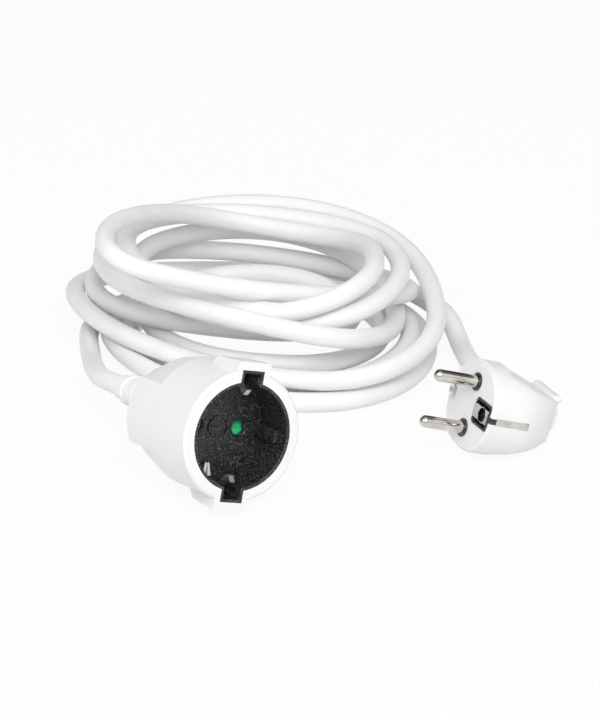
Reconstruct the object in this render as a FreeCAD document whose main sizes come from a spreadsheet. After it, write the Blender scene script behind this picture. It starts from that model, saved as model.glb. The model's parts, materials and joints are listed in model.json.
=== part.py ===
import FreeCAD, Part
import math
import os
import re
import Sketcher
from FreeCAD import Placement, Rotation, Vector

doc = FreeCAD.newDocument("extension_cord")
sheet = doc.addObject("Spreadsheet::Sheet", "sizes")

# Driving sizes in millimetres and degrees, one cell each.
# The socket and the plug have the same axes: z points out of the face, along the pins,
# and y runs up to the socket's top notch, or along the plug's line of pins.
DRIVING = {
    # cord
    "cord_diameter": 8.0,
    "core_diameter": 2.5,
    "core_circle": 1.67,
    "sheath_gap": 0.05,
    "bend_share": 0.45,
    # how far a cutting shape reaches past the piece that it cuts
    "overshoot": 1.0,
    # white housing of the socket
    "housing_radius": 25.0,
    "drum_length": 27.0,
    "waist_depth": 42.0,
    "waist_radius": 21.5,
    "shoulder_depth": 55.0,
    "shoulder_radius": 15.5,
    "housing_length": 67.0,
    "neck_radius": 8.0,
    "edge_round": 0.8,
    "wing_width": 25.0,
    "lug_width": 14.2,
    "lug_front": 28.2,
    "lug_back": 27.2,
    "lug_length": 15.0,
    "lug_slope": 5.0,
    # black insert with the well
    "insert_radius": 20.75,
    "well_radius": 19.5,
    "well_depth": 17.5,
    "floor_thickness": 2.5,
    "notch_width": 9.6,
    "notch_height": 25.0,
    "notch_depth": 12.8,
    "notch_wall": 1.2,
    "notch_root": 1.0,
    "rib_width": 5.0,
    "rib_height": 2.3,
    "rib_start": 1.5,
    "rib_bite": 0.2,
    "pin_pitch": 19.0,
    "pin_hole_radius": 2.75,
    "hole_sink": 0.7,
    "boss_radius": 4.25,
    "boss_wall": 0.4,
    "boss_height": 0.4,
    # carrier behind the well, with the shutter, its spring and the contacts
    "carrier_radius": 17.0,
    "carrier_length": 21.0,
    "slide_gap": 0.3,
    "shutter_length": 25.4,
    "shutter_width": 6.8,
    "shutter_thickness": 2.4,
    "shutter_travel": 6.4,
    "ramp_step": 0.9,
    "spring_radius": 1.1,
    "spring_wire": 0.4,
    "spring_turns": 7.0,
    "contact_radius": 3.3,
    "contact_bore": 2.5,
    "contact_length": 15.0,
    "contact_end": 1.2,
    "contact_slit": 0.8,
    "clip_width": 3.4,
    "clip_thickness": 0.6,
    "clip_root": 14.2,
    "clip_knee": 19.0,
    "clip_knee_depth": 14.0,
    "clip_back": 20.4,
    "clip_back_depth": 9.0,
    "clip_nose": 15.2,
    "clip_nose_depth": 4.0,
    "clip_end": 18.2,
    "clip_end_depth": 1.4,
    "clip_slit": 0.9,
    "clip_slit_length": 3.2,
    # cores between the carrier and the cord's end
    "bundle_depth": 60.0,
    "wire_room_radius": 12.75,
    "wire_room_inset": 2.0,
    "core_start_run": 2.0,
    "core_end_run": 4.0,
    # strain reliefs
    "relief_length": 20.0,
    "relief_wall": 2.0,
    "relief_end_wall": 1.0,
    "ring_height": 0.7,
    "ring_width": 1.8,
    # plug
    "plug_radius": 18.3,
    "plug_flat": 17.2,
    "plug_rim": 10.0,
    "plug_side": 18.0,
    "plug_waist": 15.8,
    "plug_waist_depth": 27.0,
    "plug_length": 36.0,
    "plug_back_radius": 10.0,
    "plug_back_flat": 9.6,
    "pin_radius": 2.4,
    "pin_length": 19.0,
    "pin_root": 12.0,
    "pin_root_radius": 2.8,
    "room_radius": 12.0,
    "room_inset": 4.0,
    "throat_gap": 1.0,
    "wire_room_gap": 0.6,
    "sheath_start": 12.0,
    "block_radius": 13.5,
    "block_front": 2.5,
    "block_back": 16.0,
    "collar_radius": 3.5,
    "collar_height": 0.4,
    "earth_offset": 10.0,
    "earth_bore": 2.7,
    "earth_wall": 0.5,
    "earth_depth": 12.0,
    "earth_end": 1.0,
    "frame_start": 4.8,
    "frame_width": 11.0,
    "frame_wall": 1.4,
    "recess_depth": 3.0,
    "strap_width": 5.8,
    "strap_thickness": 0.6,
    "strip_width": 3.0,
    "strip_length": 14.0,
    "far_strip_length": 5.0,
    "tail_depth": 30.0,
    "tail_radius": 8.4,
    "tail_start": 2.0,
    "tail_reach": 20.5,
    "tail_relief_length": 18.5,
    # how the cores bend from the pins into the plug's tail
    "plug_core_run": 3.0,
    "plug_core_draw": 0.45,
    "plug_core_shift": 2.0,
    "plug_core_rise": 4.5,
    "plug_core_turn": 7.0,
    # straight stretches of the cord at the ends of its free lengths
    "socket_lead_run": 12.0,
    "plug_lead_run": 15.0,
    "lead_end_run": 14.0,
    # how the pieces lie on the floor
    "socket_tilt": 5.25,
    "socket_roll": 15.5,
    "plug_tilt": 17.3,
    "plug_roll": 1.7,
    "plug_turn": 99.15,
    "lay_turn": 32.6,
}

# The lay frame: the coil's long side runs along its x, and z = 0 is the floor.
SOCKET_IN_LAY = Vector(-21.3, -161.8, 0)
PLUG_IN_LAY = Vector(65.3, -104.2, 0)

# How far along each strain relief its two rings start, as shares of its length.
SOCKET_RINGS = {"first": 0.35, "second": 0.75}
PLUG_RINGS = {"first": 0.25, "second": 0.65}

# How often the coil is measured against itself, and the length of cord that counts as one strand.
GAP_STEP = 2.5
GAP_APART = 45


def fill_sheet():
    for row, (name, number) in enumerate(DRIVING.items(), start=1):
        sheet.set("A%d" % row, name)
        sheet.set("B%d" % row, str(number))
        sheet.setAlias("B%d" % row, name)
    doc.recompute()


def cells(text):
    """Points each size's name in a formula at its cell."""
    return re.sub(r"[a-z_]+", lambda word: "sizes." + word[0] if word[0] in DRIVING else word[0], text)


def size(text):
    return float(sheet.evalExpression(cells(text)))


def bind(item, **formulas):
    for name, text in formulas.items():
        item.setExpression(name, cells(text))


def put(item, x="0", y="0", z="0"):
    for axis, text in zip("xyz", (x, y, z)):
        item.setExpression("Placement.Base." + axis, cells(text))
    return item


def cylinder(name, radius, height, x="0", y="0", z="0"):
    item = doc.addObject("Part::Cylinder", name)
    bind(item, Radius=radius, Height=height)
    return put(item, x, y, z)


def side_cylinder(name, radius, height, x="0", y="0", z="0"):
    """A cylinder that starts at the place and runs towards -x."""
    item = doc.addObject("Part::Cylinder", name)
    bind(item, Radius=radius, Height=height)
    item.Placement.Rotation = Rotation(Vector(0, 1, 0), -90)
    return put(item, x, y, z)


def cone(name, low_radius, high_radius, height, x="0", y="0", z="0"):
    item = doc.addObject("Part::Cone", name)
    bind(item, Radius1=low_radius, Radius2=high_radius, Height=height)
    return put(item, x, y, z)


def sphere(name, radius, x="0", y="0", z="0"):
    item = doc.addObject("Part::Sphere", name)
    bind(item, Radius=radius)
    return put(item, x, y, z)


def box(name, length, width, height, x, y, z):
    """A box from its sizes and its low corner."""
    item = doc.addObject("Part::Box", name)
    bind(item, Length=length, Width=width, Height=height)
    return put(item, x, y, z)


def centred_box(name, length, width, height, z, x="0", y="0"):
    """A box centred on x and y, with its low face at z."""
    return box(name, length, width, height, "%s - (%s) / 2" % (x, length), "%s - (%s) / 2" % (y, width), z)


def fuse(name, items):
    item = doc.addObject("Part::MultiFuse", name)
    item.Shapes = items
    item.Refine = True
    return item


def cut(name, base, tools):
    item = doc.addObject("Part::Cut", name)
    item.Base = base
    item.Tool = tools[0] if len(tools) == 1 else fuse(name + "_tools", tools)
    item.Refine = True
    return item


def common(name, first, second):
    item = doc.addObject("Part::Common", name)
    item.Base = first
    item.Tool = second
    return item


def origin_plane(body, role):
    return next(feature for feature in body.Origin.OriginFeatures if feature.Role == role)


def outline(body, name, role, corners):
    """A closed sketch of straight lines whose corners are bound to formulas."""
    sketch = body.newObject("Sketcher::SketchObject", name)
    sketch.AttachmentSupport = (origin_plane(body, role), [""])
    sketch.MapMode = "FlatFace"
    places = [Vector(size(across), size(along), 0) for across, along in corners]
    count = len(places)
    for index, place in enumerate(places):
        sketch.addGeometry(Part.LineSegment(place, places[(index + 1) % count]))
    for index in range(count):
        sketch.addConstraint(Sketcher.Constraint("Coincident", index, 2, (index + 1) % count, 1))
    for index, (across, along) in enumerate(corners):
        for kind, text, number, axis in (
            ("DistanceX", across, places[index].x, -2),
            ("DistanceY", along, places[index].y, -1),
        ):
            if text == "0":
                sketch.addConstraint(Sketcher.Constraint("PointOnObject", index, 1, axis))
                continue
            place = sketch.addConstraint(Sketcher.Constraint(kind, -1, 1, index, 1, number))
            label = "%s_%d" % (kind, index)
            sketch.renameConstraint(place, label)
            sketch.setExpression("Constraints." + label, cells(text))
    return sketch


def turned(name, corners):
    """A body turned about z from an outline of radius and height."""
    body = doc.addObject("PartDesign::Body", name)
    sketch = outline(body, name + "_outline", "XZ_Plane", corners)
    doc.recompute()
    turn = body.newObject("PartDesign::Revolution", name + "_turn")
    turn.Profile = sketch
    turn.ReferenceAxis = (sketch, ["V_Axis"])
    turn.Angle = 360
    return body


def slab(name, role, corners, width):
    """A body padded to both sides of an origin plane."""
    body = doc.addObject("PartDesign::Body", name)
    sketch = outline(body, name + "_outline", role, corners)
    doc.recompute()
    pad = body.newObject("PartDesign::Pad", name + "_pad")
    pad.Profile = sketch
    pad.SideType = "Symmetric"
    pad.setExpression("Length", cells(width))
    return body


def strip_outline(points, thickness):
    """Corners of a bent strip: its near side, then its far side offset along the first axis."""
    far = [("%s + %s" % (across, thickness), along) for across, along in reversed(points)]
    return list(points) + far


def name_node(item, label):
    item.Label = label
    NODES[label] = item
    return item


NODES = {}


# Socket: housing

def notch_block(name, wall, width):
    """The room of both notches, less a wall, with ends that slope in behind the clips."""
    high = "notch_height - " + wall
    deep = "-notch_depth + " + wall
    low = "well_radius - notch_root"
    slope = "notch_height - well_radius + notch_root"
    return slab(name, "YZ_Plane", [
        ("-(%s)" % high, "0"),
        (high, "0"),
        (high, deep),
        (low, "%s - (%s)" % (deep, slope)),
        ("-(%s)" % low, "%s - (%s)" % (deep, slope)),
        ("-(%s)" % high, deep),
    ], width)


def socket_housing():
    shell = turned("housing_shell", [
        ("0", "0"),
        ("housing_radius - edge_round", "0"),
        ("housing_radius", "-edge_round"),
        ("housing_radius", "-drum_length"),
        ("waist_radius", "-waist_depth"),
        ("shoulder_radius", "-shoulder_depth"),
        ("neck_radius", "-housing_length"),
        ("0", "-housing_length"),
    ])
    wing_block = centred_box("wing_block", "2 * housing_radius", "wing_width",
                             "waist_depth - edge_round", "-waist_depth")
    wing_round = cylinder("wing_round", "housing_radius", "waist_depth", z="-waist_depth")
    wings = common("wings", wing_block, wing_round)
    lugs = slab("lugs", "YZ_Plane", [
        ("-lug_front", "0"),
        ("lug_front", "0"),
        ("lug_back", "-lug_length"),
        ("waist_radius", "-lug_length - lug_slope"),
        ("-waist_radius", "-lug_length - lug_slope"),
        ("-lug_back", "-lug_length"),
    ], "lug_width")
    well = cylinder("insert_seat", "insert_radius", "well_depth + floor_thickness",
                    z="-well_depth - floor_thickness")
    notch = notch_block("notch_seat", "0", "notch_width")
    carrier = cylinder("carrier_seat", "carrier_radius", "carrier_length",
                       z="-well_depth - floor_thickness - carrier_length")
    wires = cone("wire_room", "cord_diameter / 2 + sheath_gap", "wire_room_radius",
                 "bundle_depth - wire_room_inset - well_depth - floor_thickness - carrier_length",
                 z="wire_room_inset - bundle_depth")
    passage = cylinder("sheath_passage", "cord_diameter / 2 + sheath_gap",
                       "housing_length + overshoot - bundle_depth + wire_room_inset",
                       z="-housing_length - overshoot")
    body = fuse("housing_body", [shell, wings, lugs])
    return name_node(cut("housing", body, [well, notch, carrier, wires, passage]), "socket_housing")


# Socket: insert with the well, its notches, ribs and pin holes

def socket_insert():
    depth = "well_depth + floor_thickness"
    shell = cylinder("insert_shell", "insert_radius", depth, z="-well_depth - floor_thickness")
    channel = notch_block("notch_shell", "0", "notch_width")
    well = cylinder("well", "well_radius", "well_depth", z="-well_depth")
    notch = notch_block("notch", "notch_wall", "notch_width - 2 * notch_wall")
    cup = cut("cup", fuse("insert_block", [shell, channel]), [well, notch])
    ribs = []
    for side, start in (("left", "-well_radius - rib_bite"), ("right", "well_radius + rib_bite - rib_height")):
        ribs.append(box(side + "_rib", "rib_height", "rib_width", "well_depth - rib_start",
                        start, "-rib_width / 2", "-well_depth"))
    boss = cut("boss",
               cylinder("boss_outside", "boss_radius", "boss_height", z="-well_depth"),
               [cylinder("boss_inside", "boss_radius - boss_wall", "boss_height", z="-well_depth")])
    holes = []
    for side, sign in (("left", "-"), ("right", "")):
        x = sign + "pin_pitch / 2"
        holes.append(cylinder(side + "_pin_hole", "pin_hole_radius", depth, x=x, z="-well_depth - floor_thickness"))
        holes.append(cone(side + "_pin_sink", "pin_hole_radius", "pin_hole_radius + hole_sink", "hole_sink",
                          x=x, z="-well_depth - hole_sink"))
    for side, sign in (("top", ""), ("bottom", "-")):
        holes.append(centred_box(side + "_clip_slot", "clip_width + 2 * slide_gap",
                                 "clip_thickness + 2 * slide_gap", "floor_thickness",
                                 "-well_depth - floor_thickness",
                                 y=sign + "(clip_root + clip_thickness / 2)"))
    body = fuse("insert_body", [cup, boss] + ribs)
    return name_node(cut("insert", body, holes), "socket_insert")


# Socket: carrier block with the rooms for shutter, spring, contacts and earth bracket

def contact_carrier():
    back = "-well_depth - floor_thickness"
    room_depth = "shutter_thickness + 2 * slide_gap"
    block = cylinder("carrier_block", "carrier_radius", "carrier_length", z=back + " - carrier_length")
    shutter_room = box("shutter_room", "shutter_length + 2 * slide_gap",
                       "shutter_width + shutter_travel + 2 * slide_gap", room_depth,
                       "-shutter_length / 2 - slide_gap", "-shutter_width / 2 - slide_gap",
                       back + " - (%s)" % room_depth)
    spring_room = box("spring_room", "2 * (spring_radius + spring_wire / 2 + slide_gap)",
                      "clip_root - shutter_width / 2", room_depth,
                      "-spring_radius - spring_wire / 2 - slide_gap", "shutter_width / 2",
                      back + " - (%s)" % room_depth)
    tools = [shutter_room, spring_room]
    for side, sign in (("live", "-"), ("neutral", "")):
        x = sign + "pin_pitch / 2"
        tools.append(cylinder(side + "_room", "contact_radius + slide_gap / 2",
                              "(%s) + contact_length + slide_gap" % room_depth, x=x,
                              z=back + " - (%s) - contact_length - slide_gap" % room_depth))
        tools.append(cylinder(side + "_wire_hole", "core_diameter / 2 + slide_gap", "carrier_length", x=x,
                              z=back + " - carrier_length"))
    bracket_room = centred_box("bracket_room", "clip_width + 2 * slide_gap",
                               "2 * (clip_root + clip_thickness) + 2 * slide_gap",
                               "(%s) + clip_thickness + 3 * slide_gap" % room_depth,
                               back + " - (%s) - clip_thickness - 3 * slide_gap" % room_depth)
    earth_hole = cylinder("earth_wire_hole", "core_diameter / 2 + slide_gap", "carrier_length",
                          z=back + " - carrier_length")
    return name_node(cut("carrier", block, tools + [bracket_room, earth_hole]), "contact_carrier")


def shutter():
    """A bar over both pin holes, thicker at its lower half, so that two pins push it aside."""
    back = "-well_depth - floor_thickness - slide_gap - shutter_thickness"
    bar = slab("shutter_bar", "YZ_Plane", [
        ("-shutter_width / 2", back),
        ("shutter_width / 2", back),
        ("shutter_width / 2", back + " + shutter_thickness - ramp_step"),
        ("0", back + " + shutter_thickness - ramp_step"),
        ("-ramp_step / 2", back + " + shutter_thickness"),
        ("-shutter_width / 2", back + " + shutter_thickness"),
    ], "shutter_length")
    return name_node(bar, "shutter")


def shutter_spring():
    """A small compression spring between the shutter's top edge and the earth bracket's upper leg."""
    turns = size("spring_turns")
    pitch = size("clip_root - shutter_width / 2 - spring_wire") / turns
    path = Part.makeHelix(pitch, pitch * turns, size("spring_radius"))
    start = Vector(size("spring_radius"), 0, 0)
    section = Part.Wire([Part.Circle(start, Vector(0, 1, 0), size("spring_wire") / 2).toShape()])
    wire = Part.Wire(path.Edges).makePipeShell([section], True, True)
    wire.Placement = Placement(
        Vector(0, size("shutter_width + spring_wire") / 2,
               -size("well_depth + floor_thickness + slide_gap + shutter_thickness / 2")),
        Rotation(Vector(1, 0, 0), -90))
    return name_node(feature("spring", wire), "shutter_spring")


def feature(name, shape):
    item = doc.addObject("Part::Feature", name)
    item.Shape = shape
    return item


def contact(side, sign):
    x = sign + "pin_pitch / 2"
    top = "-well_depth - floor_thickness - shutter_thickness - 2 * slide_gap"
    tube = cylinder(side + "_tube", "contact_radius", "contact_length", x=x, z=top + " - contact_length")
    bore = cylinder(side + "_bore", "contact_bore", "contact_length - contact_end", x=x,
                    z=top + " - contact_length + contact_end")
    slit = centred_box(side + "_slit", "contact_slit", "2 * (contact_radius + overshoot)",
                       "contact_length - 2 * contact_end", top + " - contact_length + 2 * contact_end", x=x)
    return name_node(cut(side + "_contact_body", tube, [bore, slit]), "contact_" + side)


def earth_bracket():
    """Two spring clips and the bar that joins them behind the shutter."""
    bar_z = "-well_depth - floor_thickness - shutter_thickness - 3 * slide_gap - clip_thickness"
    clip_points = [
        ("clip_root", bar_z),
        ("clip_root", "-well_depth"),
        ("clip_knee", "-clip_knee_depth"),
        ("clip_back", "-clip_back_depth"),
        ("clip_nose", "-clip_nose_depth"),
        ("clip_end", "-clip_end_depth"),
    ]
    top = slab("top_clip", "YZ_Plane", strip_outline(clip_points, "clip_thickness"), "clip_width")
    mirrored = [("-(%s)" % across, along) for across, along in strip_outline(clip_points, "clip_thickness")]
    bottom = slab("bottom_clip", "YZ_Plane", mirrored, "clip_width")
    bar = centred_box("bracket_bar", "clip_width", "2 * (clip_root + clip_thickness)", "clip_thickness", bar_z)
    slits = []
    slit_start = "(clip_root + clip_knee + clip_thickness - clip_slit_length) / 2"
    for side, y in (("top", slit_start), ("bottom", "-%s - clip_slit_length" % slit_start)):
        slits.append(box(side + "_clip_slit", "clip_slit", "clip_slit_length", "well_depth - clip_back_depth",
                         "-clip_slit / 2", y, "-well_depth"))
    return name_node(cut("bracket", fuse("bracket_body", [top, bottom, bar]), slits), "earth_bracket")


# Tubes along routes

def route_wire(points, label):
    """Straight runs joined by tangent arcs, each as large as its share of the shorter run allows."""
    edges = []
    radii = []
    last = points[0]
    for before, corner, after in zip(points, points[1:], points[2:]):
        back = before - corner
        ahead = after - corner
        half = (math.pi - back.getAngle(ahead)) / 2
        reach = size("bend_share") * min(back.Length, ahead.Length)
        radii.append(reach / math.tan(half))
        enter = corner + back.normalize() * reach
        leave = corner + ahead.normalize() * reach
        inward = (enter + leave) / 2 - corner
        depth = radii[-1] / math.cos(half) - radii[-1]
        middle = corner + inward.normalize() * depth
        edges.append(Part.LineSegment(last, enter).toShape())
        edges.append(Part.Arc(enter, middle, leave).toShape())
        last = leave
    edges.append(Part.LineSegment(last, points[-1]).toShape())
    print(label, "radii", [round(radius, 1) for radius in radii])
    return Part.Wire(edges)


def tube(name, wire, diameter):
    """A round tube along a wire, with its volume compared with section times length."""
    first = wire.Edges[0]
    start = first.valueAt(first.FirstParameter)
    along = first.tangentAt(first.FirstParameter)
    section = Part.Wire([Part.Circle(start, along, diameter / 2).toShape()])
    shape = wire.makePipeShell([section], True, False)
    expected = math.pi * diameter ** 2 / 4 * wire.Length
    print(name, "length %.0f" % wire.Length, "volume ratio %.4f" % (shape.Volume / expected))
    return feature(name, shape)


def straight_sheath(name, start, end):
    return tube(name, Part.Wire([Part.LineSegment(start, end).toShape()]), size("cord_diameter"))


def bundle_place(index):
    """Where each of the three cores lies round the cord's middle."""
    angle = math.radians(90 + 120 * index)
    circle = size("core_circle")
    return circle * math.cos(angle), circle * math.sin(angle)


def socket_wires():
    end = -size("bundle_depth")
    back = -size("well_depth + floor_thickness + carrier_length")
    contact_z = -size("well_depth + floor_thickness + shutter_thickness + 2 * slide_gap + contact_length")
    bar_z = -size("well_depth + floor_thickness + shutter_thickness + 3 * slide_gap + clip_thickness")
    starts = {
        "earth": (0, 0, bar_z),
        "live": (-size("pin_pitch") / 2, 0, contact_z),
        "neutral": (size("pin_pitch") / 2, 0, contact_z),
    }
    for index, (kind, (x, y, z)) in enumerate(starts.items()):
        across, up = bundle_place(index)
        points = [
            Vector(x, y, z),
            Vector(x, y, back - size("core_start_run")),
            Vector(across, up, end + size("core_end_run")),
            Vector(across, up, end),
        ]
        wire = route_wire(points, "socket wire " + kind)
        name_node(tube("socket_" + kind, wire, size("core_diameter")), "socket_wire_" + kind)


def sheath_in_socket():
    start = Vector(0, 0, -size("bundle_depth"))
    end = Vector(0, 0, -size("housing_length + relief_length"))
    return name_node(straight_sheath("socket_sheath", start, end), "sheath_in_socket")


def ring_radius(share):
    """The radius of a ring on a strain relief, which narrows along its length."""
    return "cord_diameter / 2 + relief_wall - %g * (relief_wall - relief_end_wall) + ring_height" % share


def socket_strain_relief():
    sleeve = cone("relief_cone", "cord_diameter / 2 + relief_end_wall", "cord_diameter / 2 + relief_wall",
                  "relief_length", z="-housing_length - relief_length")
    rings = []
    for name, share in SOCKET_RINGS.items():
        rings.append(cylinder(name + "_ring", ring_radius(share), "ring_width",
                              z="-housing_length - %g * relief_length" % share))
    bore = cylinder("relief_bore", "cord_diameter / 2 + sheath_gap", "relief_length + 2 * overshoot",
                    z="-housing_length - relief_length - overshoot")
    return name_node(cut("relief", fuse("relief_body", [sleeve] + rings), [bore]), "socket_strain_relief")


# Plug

def core_parts():
    """The blocks of the black core, which also shape its seat in the plug's body."""
    block = cylinder("core_block", "block_radius", "block_back - block_front", z="-block_back")
    collars = []
    for side, y in (("live", "pin_pitch / 2"), ("neutral", "-pin_pitch / 2")):
        collars.append(cylinder(side + "_collar", "collar_radius", "block_front + collar_height", y=y,
                                z="-block_front"))
    frame_block = box("frame_block", "plug_radius - frame_start", "frame_width", "2 * recess_depth",
                      "frame_start", "-frame_width / 2", "-2 * recess_depth")
    frame_limit = cylinder("frame_limit", "plug_radius - edge_round / 2", "plug_side", z="-plug_side")
    return fuse("core_outside", [block, common("frame", frame_block, frame_limit)] + collars)


def near_strip_slot():
    return box("near_slot", "plug_radius", "strip_width", "recess_depth + strip_length",
               "plug_radius - strap_thickness", "-strip_width / 2", "-recess_depth - strip_length")


def plug_core(outside, near_slot):
    tools = [near_slot]
    for side, y in (("live", "pin_pitch / 2"), ("neutral", "-pin_pitch / 2")):
        tools.append(cylinder(side + "_pin_seat", "pin_root_radius", "pin_root + overshoot", y=y, z="-pin_root"))
        tools.append(cylinder(side + "_core_hole", "core_diameter / 2 + slide_gap", "block_back", y=y,
                              z="-block_back"))
    tools.append(box("core_recess", "plug_radius", "frame_width - 2 * frame_wall", "recess_depth + overshoot",
                     "frame_start + frame_wall", "-frame_width / 2 + frame_wall", "-recess_depth"))
    tools.append(cylinder("earth_seat", "earth_bore + earth_wall", "earth_depth", x="earth_offset",
                          z="-recess_depth - earth_depth"))
    tools.append(cylinder("earth_core_hole", "core_diameter / 2 + slide_gap", "block_back", x="earth_offset",
                          z="-block_back"))
    return name_node(cut("core", outside, tools), "plug_core")


def plug_body(outside, near_slot):
    turned_body = turned("plug_round", [
        ("0", "0"),
        ("plug_radius - edge_round", "0"),
        ("plug_radius", "-edge_round"),
        ("plug_radius", "-plug_side"),
        ("plug_waist", "-plug_waist_depth"),
        ("plug_back_radius", "-plug_length"),
        ("0", "-plug_length"),
    ])
    wedge = slab("plug_wedge", "YZ_Plane", [
        ("-plug_flat", "overshoot"),
        ("plug_flat", "overshoot"),
        ("plug_flat", "-plug_rim"),
        ("plug_back_flat", "-plug_length - overshoot"),
        ("-plug_back_flat", "-plug_length - overshoot"),
        ("-plug_flat", "-plug_rim"),
    ], "2 * (plug_radius + overshoot)")
    head = common("plug_head", turned_body, wedge)
    tail = side_cylinder("plug_tail", "tail_radius", "tail_start + tail_reach", x="tail_start", z="-tail_depth")
    room = cylinder("plug_room", "room_radius", "plug_waist_depth - room_inset - block_back",
                    z="room_inset - plug_waist_depth")
    throat = cone("plug_throat", "cord_diameter / 2 + throat_gap", "room_radius",
                  "tail_depth + overshoot + room_inset - plug_waist_depth", z="-tail_depth - overshoot")
    wires = side_cylinder("plug_wire_room", "cord_diameter / 2 + wire_room_gap", "sheath_start + overshoot",
                          z="-tail_depth")
    bore = side_cylinder("plug_sheath_bore", "cord_diameter / 2 + sheath_gap", "tail_reach", x="-sheath_start",
                         z="-tail_depth")
    recess_mouth = box("recess_mouth", "plug_radius", "frame_width - 2 * frame_wall", "recess_depth + overshoot",
                       "frame_start + frame_wall", "-frame_width / 2 + frame_wall", "-recess_depth")
    far_slot = box("far_slot", "plug_radius", "strip_width", "strip_length",
                   "-2 * plug_radius + strap_thickness", "-strip_width / 2", "-strip_length")
    far_top = box("far_top", "far_strip_length", "strip_width", "strap_thickness",
                  "-plug_radius", "-strip_width / 2", "-strap_thickness")
    whole = fuse("plug_whole", [head, tail])
    tools = [outside, room, throat, wires, bore, near_slot, recess_mouth, far_slot, far_top]
    return name_node(cut("plug", whole, tools), "plug_body")


def plug_pin(side, y):
    """A round pin with a half-sphere tip and a thicker root, which ends level with its collar."""
    root = cylinder(side + "_root", "pin_root_radius", "pin_root + collar_height", y=y, z="-pin_root")
    shank = cylinder(side + "_shank", "pin_radius", "pin_length - pin_radius", y=y)
    tip = sphere(side + "_tip", "pin_radius", y=y, z="pin_length - pin_radius")
    return name_node(fuse(side + "_pin_body", [root, shank, tip]), "plug_pin_" + side)


def plug_earth_sleeve():
    tube_body = cylinder("earth_tube", "earth_bore + earth_wall", "earth_depth", x="earth_offset",
                         z="-recess_depth - earth_depth")
    bore = cylinder("earth_tube_bore", "earth_bore", "earth_depth - earth_end", x="earth_offset",
                    z="-recess_depth - earth_depth + earth_end")
    return name_node(cut("earth_sleeve_body", tube_body, [bore]), "plug_earth_sleeve")


def plug_near_strap():
    """The strap in the recess, with a hole over the earth sleeve, and its strip down the side."""
    plate = box("strap_plate", "plug_radius - frame_start - frame_wall - slide_gap", "strap_width",
                "strap_thickness", "frame_start + frame_wall + slide_gap", "-strap_width / 2", "-recess_depth")
    strip = box("near_strip", "strap_thickness", "strip_width", "recess_depth + strip_length - strap_thickness",
                "plug_radius - strap_thickness", "-strip_width / 2", "-recess_depth - strip_length")
    lip = box("near_lip", "strap_thickness", "strip_width", "strap_thickness",
              "plug_radius - strap_thickness", "-strip_width / 2", "-recess_depth")
    hole = cylinder("strap_hole", "earth_bore", "overshoot", x="earth_offset", z="-recess_depth")
    edge = cylinder("strap_limit", "plug_radius", "plug_length", z="-plug_length")
    whole = common("strap_whole", fuse("strap_body", [plate, strip, lip]), edge)
    return name_node(cut("strap", whole, [hole]), "plug_earth_strap")


def plug_far_strap():
    side_strip = box("far_strip", "strap_thickness", "strip_width", "strip_length", "-plug_radius",
                     "-strip_width / 2", "-strip_length")
    top_strip = box("far_strip_top", "far_strip_length", "strip_width", "strap_thickness", "-plug_radius",
                    "-strip_width / 2", "-strap_thickness")
    edge = cylinder("far_limit", "plug_radius", "plug_length", z="-plug_length")
    return name_node(common("far_strap", fuse("far_strap_body", [side_strip, top_strip]), edge),
                     "plug_earth_strip")


def plug_strain_relief():
    start = "-tail_reach"
    sleeve = doc.addObject("Part::Cone", "tail_cone")
    bind(sleeve, Radius1="cord_diameter / 2 + relief_wall", Radius2="cord_diameter / 2 + relief_end_wall",
         Height="tail_relief_length")
    sleeve.Placement.Rotation = Rotation(Vector(0, 1, 0), -90)
    put(sleeve, x=start, z="-tail_depth")
    rings = []
    for name, share in PLUG_RINGS.items():
        rings.append(side_cylinder("tail_%s_ring" % name, ring_radius(share), "ring_width",
                                   x="%s - %g * tail_relief_length" % (start, share), z="-tail_depth"))
    bore = side_cylinder("tail_bore", "cord_diameter / 2 + sheath_gap", "tail_relief_length + 2 * overshoot",
                         x="overshoot - tail_reach", z="-tail_depth")
    return name_node(cut("tail_relief", fuse("tail_relief_body", [sleeve] + rings), [bore]), "plug_strain_relief")


def sheath_in_plug():
    depth = -size("tail_depth")
    start = Vector(-size("sheath_start"), 0, depth)
    end = Vector(-size("tail_reach + tail_relief_length"), 0, depth)
    return name_node(straight_sheath("plug_sheath", start, end), "sheath_in_plug")


def plug_wires():
    depth = -size("tail_depth")
    pin_back = -size("pin_root")
    starts = {
        "live": (0, size("pin_pitch") / 2, pin_back),
        "neutral": (0, -size("pin_pitch") / 2, pin_back),
        "earth": (size("earth_offset"), 0, -size("recess_depth + earth_depth")),
    }
    for kind, (x, y, z) in starts.items():
        angle = math.radians({"live": 30, "neutral": 150, "earth": 270}[kind])
        side = size("core_circle") * math.cos(angle)
        rise = size("core_circle") * math.sin(angle)
        points = [
            Vector(x, y, z),
            Vector(x, y, -size("block_back + plug_core_run")),
            Vector(x / 2 - size("plug_core_shift"), y * size("plug_core_draw"),
                   depth + size("plug_core_rise") + rise / 2),
            Vector(-size("plug_core_turn"), side, depth + rise),
            Vector(-size("sheath_start"), side, depth + rise),
        ]
        wire = route_wire(points, "plug wire " + kind)
        name_node(tube("plug_" + kind, wire, size("core_diameter")), "plug_wire_" + kind)


# Where socket, lay and plug stand

def face_rotation(turn, tilt, roll):
    """Turns a face's own axes so that its z looks level towards -y, then tilts, rolls and turns it."""
    upright = Rotation(Vector(1, 0, 0), 90 - tilt)
    return Rotation(Vector(0, 0, 1), turn) * upright * Rotation(Vector(0, 0, 1), -roll)


def place_nodes(names, placement):
    for name in names:
        NODES[name].Placement = placement.multiply(NODES[name].Placement)


def bounds(names):
    whole = FreeCAD.BoundBox()
    for name in names:
        whole.add(NODES[name].Shape.optimalBoundingBox(False, False))
    return whole


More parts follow.
